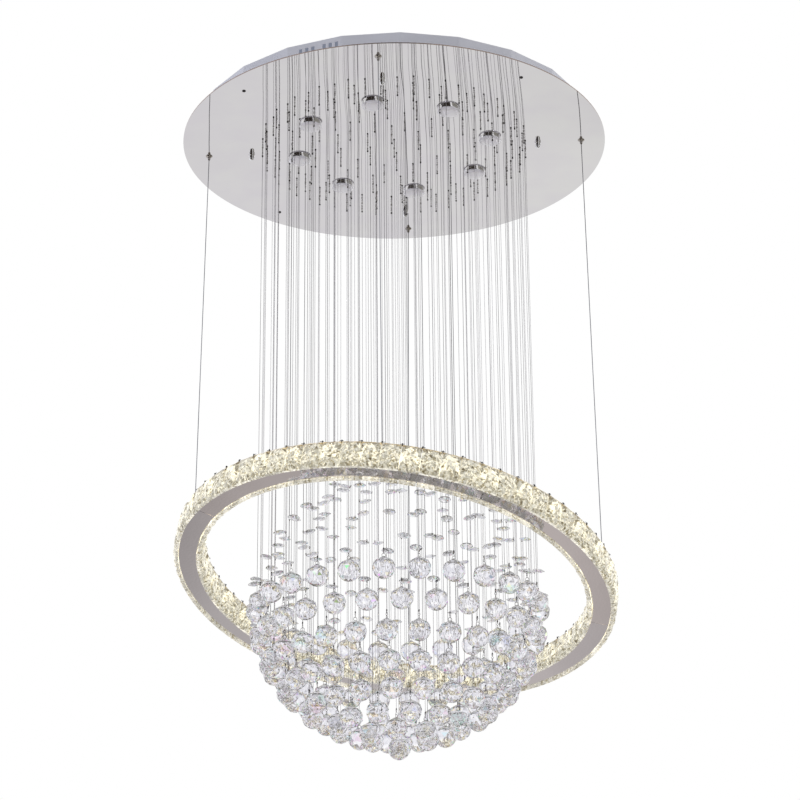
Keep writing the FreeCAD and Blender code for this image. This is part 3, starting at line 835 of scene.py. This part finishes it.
def block_facets(half_width):
    """A cut block: a face of small uneven facets, bevelled edges and a nearly flat back."""
    points, faces = [], []
    for back in (False, True):
        for j in range(ROWS):
            for i in range(COLUMNS):
                u, v = 2 * i / (COLUMNS - 1) - 1, j / (ROWS - 1)
                edge = i in (0, COLUMNS - 1) or j in (0, ROWS - 1)
                if not edge:
                    u += rng.uniform(-SHIFT_ACROSS, SHIFT_ACROSS)
                    v += rng.uniform(-SHIFT_UP, SHIFT_UP)
                if back:
                    share = 0.0 if edge else rng.uniform(0.0, BACK_WAVE)
                elif edge:
                    share = EDGE_SHARE
                else:
                    inside = min(1.0, SIDE_SLOPE * (1 - abs(u)), END_SLOPE * min(v, 1 - v))
                    share = EDGE_SHARE + BEVEL_SHARE * inside + rng.uniform(0.0, FACE_WAVE)
                points.append((share * BLOCK_DEPTH, u * half_width, BLOCK_LOW + v * (BLOCK_HIGH - BLOCK_LOW)))
    start = COLUMNS * ROWS
    for j in range(ROWS - 1):
        for i in range(COLUMNS - 1):
            a, b = j * COLUMNS + i, j * COLUMNS + i + 1
            c, d = b + COLUMNS, a + COLUMNS
            halves = [[a, b, c], [a, c, d]] if rng.random() < 0.5 else [[a, b, d], [b, c, d]]
            faces += halves + [[start + m for m in reversed(half)] for half in halves]
    bottom = list(range(COLUMNS))
    side = [COLUMNS * (j + 1) - 1 for j in range(1, ROWS)]
    crown = [COLUMNS * (ROWS - 1) + i for i in range(COLUMNS - 2, -1, -1)]
    other = [COLUMNS * j for j in range(ROWS - 2, 0, -1)]
    rim = bottom + side + crown + other
    for k in range(len(rim)):
        m = (k + 1) % len(rim)
        faces.append([rim[m], rim[k], start + rim[k], start + rim[m]])
    return points, faces


def between(stops, value):
    """The colour at a value from 0 to 1 along the stops."""
    for (start, a), (end, b) in zip(stops, stops[1:]):
        if value <= end:
            share = (value - start) / (end - start)
            return tuple(p + (q - p) * share for p, q in zip(a, b))


def lit_tone(half_width, over_lamp):
    """Painted light of one block, which sets its glow: beige with streaks, painted brown shade along its top,
    and underneath a painted lightness of its own.

    A block painted as over a lamp also has a bright arch of painted light.
    """
    reach = rng.uniform(0.62, 0.78)
    shift = rng.uniform(-0.15, 0.15)
    under = rng.choice(BLOCK_UNDERSIDE)

    def tone(centre):
        u, v = centre.y / half_width, (centre.z - BLOCK_LOW) / (BLOCK_HIGH - BLOCK_LOW)
        back = centre.x < 0.08 * BLOCK_DEPTH
        # Painted glow: random, a little brighter towards the top and duller near the bottom
        value = rng.uniform(0.24, 0.84) + 0.12 * (v - 0.5)
        if v < 0.2 and rng.random() < 0.4:
            value = rng.uniform(0.2, 0.5)
        # Painted bright arch of a lamp's light, with painted shade above it
        if over_lamp and centre.x > 0.3 * BLOCK_DEPTH:
            arch = math.hypot((u - shift) / reach, (v - 0.5) / 0.30) if v > 0.5 else abs(u - shift) / reach
            if abs(arch - 1) < 0.30 and v > 0.28:
                value = rng.uniform(0.80, 1.0)
            elif arch > 1 and v > 0.6:
                value = rng.uniform(0.10, 0.50)
        # Underneath: painted glow, of a lightness chosen per block
        if v < 0.001 or back and v < 0.12:
            return grey(0.8 * under, 1.15 * under, 1.0, 0.995, 0.96)
        # Painted brown shade along the top, and painted shade just below it
        if v > 0.93:
            return rng.choice(CROWN_TONES)
        if back:
            value = rng.uniform(0.25, 1.0)
        elif v > 0.86:
            value = rng.uniform(0.05, 0.50)
        elif rng.random() < 0.05:
            value = rng.uniform(0.0, 0.2)
        return between(LIT_STOPS, min(max(value, 0.0), 1.0))
    return tone


def crystal_row(name, seat, facing, narrowest):
    """The blocks of one row, side by side round the ring; every other one gets the painted arch of a lamp of
    the strip.
    """
    half_width = narrowest * math.tan(math.radians(BLOCK_STEP / 2)) - BLOCK_GAP / 2
    blocks = Shape()
    for i in range(RING_BLOCKS):
        turn = Matrix.Rotation(math.radians(GRID + BLOCK_STEP * (i + 0.5)), 4, "Z")
        stand = turn @ Matrix.Translation((seat, 0, 0)) @ Matrix.Rotation(math.radians(facing), 4, "Z")
        part = block_facets(half_width)
        blocks.add(part, RING @ stand, lit_tone(half_width, i % 2 == 1))
    finish_mesh(name + "_blocks", blocks, RING_CRYSTAL, "ring", [name + "_crystals"])


def pin_piece():
    """A headed pin and a short wire on top, between every two blocks of a row."""
    pins = Shape()
    pin, wire = lathe(PIN_PROFILE, 8), lathe(WIRE_PROFILE, 6)
    for i in range(RING_BLOCKS):
        stand = RING @ Matrix.Rotation(math.radians(GRID + BLOCK_STEP * i), 4, "Z")
        for radius in (OUTER_SEAT + PIN_AWAY, INNER_SEAT - PIN_AWAY):
            pins.add(pin, stand @ Matrix.Translation((radius, 0, BLOCK_HIGH + PIN_RISE)), DARK_TONE)
            lean = Matrix.Rotation(math.radians(90 + rng.uniform(-WIRE_LEAN, WIRE_LEAN)), 4, "X")
            middle = Matrix.Translation((radius, rng.uniform(-WIRE_SWAY, WIRE_SWAY), BLOCK_HIGH + WIRE_RISE))
            pins.add(wire, stand @ middle @ lean, DARK_TONE)
    finish_mesh("ring_pins", pins, CRIMP, "ring", smooth=WIRE_SMOOTH)


def ring_pieces():
    gap = math.degrees(COVER_GAP / 2 / ANCHOR_RADIUS)
    for name, (first, last) in COVER_ENDS.items():
        cover = Shape()
        cover.add(arc_band(COVER_SECTION, 96, GRID + first + gap, GRID + last - gap), RING)
        finish_mesh(name + "_face", cover, COVER_STEEL[name], "ring", [name], SHEET_SMOOTH)
    top_plate, steel = Shape(), COVER_STEEL["ring_cover_rear"]
    top_plate.add(arc_band(TOP_SECTION, 144), RING)
    finish_mesh("ring_top_face", top_plate, steel, "ring", ["ring_top_plate"], SHEET_SMOOTH)
    crystal_row("outer", OUTER_SEAT, 0.0, OUTER_SEAT)
    crystal_row("inner", INNER_SEAT, 180.0, INNER_SEAT - BLOCK_DEPTH)
    pin_piece()


def cable_pieces():
    """Each cable in two lengths: the upper rides on the canopy, the lower runs from the tilted ring and rides
    on no body.
    """
    for side, azimuth in zip(SIDES, CROSS):
        mouth = RING @ at(ANCHOR_RADIUS, azimuth, ANCHOR_TOP)
        gripper = at(GRIPPER_RADIUS, azimuth, GRIPPER_MID)
        run = (gripper - mouth).normalized()
        foot = mouth - run * CABLE_FOOT
        split = mouth + run * CABLE_BEND
        tail = mouth + run * ((PLATE_TOP + CABLE_TAIL - mouth.z) / run.z)
        upper, lower = Shape(), Shape()
        upper.add(tube([split, tail], CABLE_RADIUS, 8))
        path = [foot + (split - foot) * k / CABLE_STEPS for k in range(CABLE_STEPS + 1)]
        lower.add(tube(path, CABLE_RADIUS, 8))
        top = finish_mesh(
            "cable_upper_" + side, upper, CABLE, "canopy", ["cable_" + side], WIRE_SMOOTH)
        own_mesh(top)
        low = finish_mesh("cable_lower_" + side, lower, CABLE, None, smooth=WIRE_SMOOTH)
        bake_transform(low)


fitting_pieces()
strand_pieces()
ring_pieces()
cable_pieces()


# Camera, set from the photograph

FOCAL_PIXELS = 2610.1
PIXELS = 800
SENSOR = 36.0
CLIP_END = 50.0
TILT, PAN, ROLL = math.radians(21.869), math.radians(0.088), math.radians(-0.505)
EYE = Vector((0.0, -4.4305, PLATE_UNDER - 2.2945))


def photograph_camera():
    forward = Vector((math.sin(PAN) * math.cos(TILT), math.cos(PAN) * math.cos(TILT), math.sin(TILT)))
    level = Vector((math.cos(PAN), -math.sin(PAN), 0.0))
    upward = level.cross(forward)
    right = math.cos(ROLL) * level + math.sin(ROLL) * upward
    above = -math.sin(ROLL) * level + math.cos(ROLL) * upward
    lens = bpy.data.cameras.new("camera")
    lens.sensor_width = SENSOR
    lens.lens = FOCAL_PIXELS / PIXELS * SENSOR
    lens.clip_end = CLIP_END
    camera = bpy.data.objects.new("camera", lens)
    rotation = Matrix((right, above, -forward)).transposed().to_4x4()
    camera.matrix_world = Matrix.Translation(EYE) @ rotation
    bpy.context.collection.objects.link(camera)
    bpy.context.scene.camera = camera


# Light: a white studio with a darker floor and front. Its stops run over a direction's x, y or z, or round it.

def pale(value):
    """A grey of the studio, with a trace of blue."""
    return (value, value, value * 1.005)


HEIGHT_STOPS = (
    (0.0, (0.30, 0.275, 0.27)), (0.17, (0.54, 0.505, 0.50)), (0.24, pale(0.74)), (0.31, pale(0.82)),
    (0.42, pale(0.9)), (0.6, pale(1.0)), (1.0, pale(0.95)))
FRONT_STOPS = (
    (0.0, pale(0.10)), (0.05, pale(0.16)), (0.11, pale(0.75)), (0.4, pale(0.9)), (0.6, pale(1.0)),
    (1.0, pale(1.0)))
ACROSS_STOPS = (
    (0.0, (1.0, 1.02, 1.10)), (0.42, (0.96, 0.95, 0.97)), (0.5, (1.0, 0.995, 1.0)),
    (0.58, (1.03, 1.03, 1.01)), (1.0, (0.9, 0.9, 0.92)))
# Across the floor, which the covers of the ring mirror
FLOOR_LEVEL = -0.57
FLOOR_STOPS = (
    (0.0, pale(0.7)), (0.37, pale(0.60)), (0.384, pale(0.68)), (0.393, pale(0.82)), (0.41, pale(0.88)),
    (0.452, pale(1.01)), (0.4645, pale(0.84)), (0.52, pale(0.80)), (1.0, pale(0.9)))
# Dark and olive flags that only polished metal sees, low down and not behind the object
FLAG_BACK, FLAG_TOP = 0.5, -0.1
DARK_FLAG, OLIVE_FLAG = (0.035, 0.028, 0.024), (0.30, 0.29, 0.26)
FLAG_STOPS = (
    (0.0, pale(1.0)), (0.281, pale(1.0)), (0.284, DARK_FLAG), (0.563, DARK_FLAG), (0.566, pale(1.0)),
    (0.614, pale(1.0)), (0.617, OLIVE_FLAG), (1.0, OLIVE_FLAG))
# Soft patches with small coloured lights, over a darker floor, that only glass shows
PATCH_STOPS = (
    (0.34, (0.62, 0.62, 0.66)), (0.44, (0.84, 0.84, 0.89)), (0.56, (0.93, 0.93, 0.97)), (0.66, pale(1.05)))
DOT_STOPS = ((0.0, WHITE), (0.11, WHITE), (0.14, BLACK), (1.0, BLACK))
GLASS_STOPS = (
    (0.0, (0.20, 0.195, 0.18)), (0.2, (0.33, 0.33, 0.31)), (0.4, pale(0.9)), (0.5, pale(1.0)),
    (1.0, pale(1.0)))


def studio():
    world = bpy.data.worlds.new("studio")
    bpy.context.scene.world = world
    world.use_nodes = True
    tree = world.node_tree
    tree.nodes.clear()
    ray = tree.nodes.new("ShaderNodeLightPath")
    x, y, z = axes(tree, coordinates(tree, "Generated"))
    across, inward, height = (map_range(tree, axis, -1.0, 1.0) for axis in (x, y, z))

    room = multiply(tree, ramp(tree, height, HEIGHT_STOPS), ramp(tree, inward, FRONT_STOPS))
    low = math_node(tree, "LESS_THAN", z, FLOOR_LEVEL)
    sides = mix(tree, "MIX", low, ramp(tree, across, ACROSS_STOPS), ramp(tree, across, FLOOR_STOPS))
    room = multiply(tree, room, sides)

    turn = math_node(tree, "ARCTAN2", x, math_node(tree, "MULTIPLY", y, -1.0))
    flags = ramp(tree, map_range(tree, turn, -math.pi, math.pi), FLAG_STOPS)
    near = math_node(tree, "LESS_THAN", y, FLAG_BACK)
    near_and_low = math_node(tree, "MULTIPLY", near, math_node(tree, "LESS_THAN", z, FLAG_TOP))
    flagged = math_node(tree, "MULTIPLY", ray.outputs["Is Glossy Ray"], near_and_low)
    room = mix(tree, "MIX", flagged, room, flags)

    patches = ramp(tree, noise(tree, 5.0, 3.0, "Generated"), PATCH_STOPS)
    lights = cells(tree, 14.0, "Generated")
    vivid = tree.nodes.new("ShaderNodeHueSaturation")
    set_inputs(vivid, {"Saturation": 0.6, "Value": 1.3})
    tree.links.new(lights["Color"], vivid.inputs["Color"])
    sparkle = mix(tree, "MIX", ramp(tree, lights["Distance"], DOT_STOPS), patches, vivid.outputs[0])
    sparkle = multiply(tree, sparkle, ramp(tree, height, GLASS_STOPS))

    seen = mix(tree, "MIX", ray.outputs["Is Transmission Ray"], room, sparkle)
    seen = mix(tree, "MIX", ray.outputs["Is Camera Ray"], seen, (*WHITE, 1.0))
    back = tree.nodes.new("ShaderNodeBackground")
    tree.links.new(seen, back.inputs["Color"])
    out = tree.nodes.new("ShaderNodeOutputWorld")
    tree.links.new(back.outputs[0], out.inputs[0])


def ceiling():
    """The ceiling inside the pan, in shade. It isn't part of the object and shows only from below."""
    points, faces = lathe([(0.0, CEILING_LEVEL), (CEILING_RADIUS, CEILING_LEVEL)], 48)
    mesh = bpy.data.meshes.new("ceiling")
    mesh.from_pydata(points, [], faces)
    material = bpy.data.materials.new("ceiling")
    material.use_nodes = True
    tree = material.node_tree
    tree.nodes.clear()
    out = tree.nodes.new("ShaderNodeOutputMaterial")
    blend = tree.nodes.new("ShaderNodeMixShader")
    clear = tree.nodes.new("ShaderNodeBsdfTransparent")
    shade = tree.nodes.new("ShaderNodeEmission")
    shade.inputs["Color"].default_value = (0.20, 0.22, 0.28, 1.0)
    geometry = tree.nodes.new("ShaderNodeNewGeometry")
    tree.links.new(geometry.outputs["Backfacing"], blend.inputs[0])
    tree.links.new(shade.outputs[0], blend.inputs[1])
    tree.links.new(clear.outputs[0], blend.inputs[2])
    tree.links.new(blend.outputs[0], out.inputs[0])
    mesh.materials.append(material)
    disc = bpy.data.objects.new("ceiling", mesh)
    bpy.context.collection.objects.link(disc)


photograph_camera()
studio()
ceiling()
bpy.context.scene.view_settings.view_transform = "Standard"
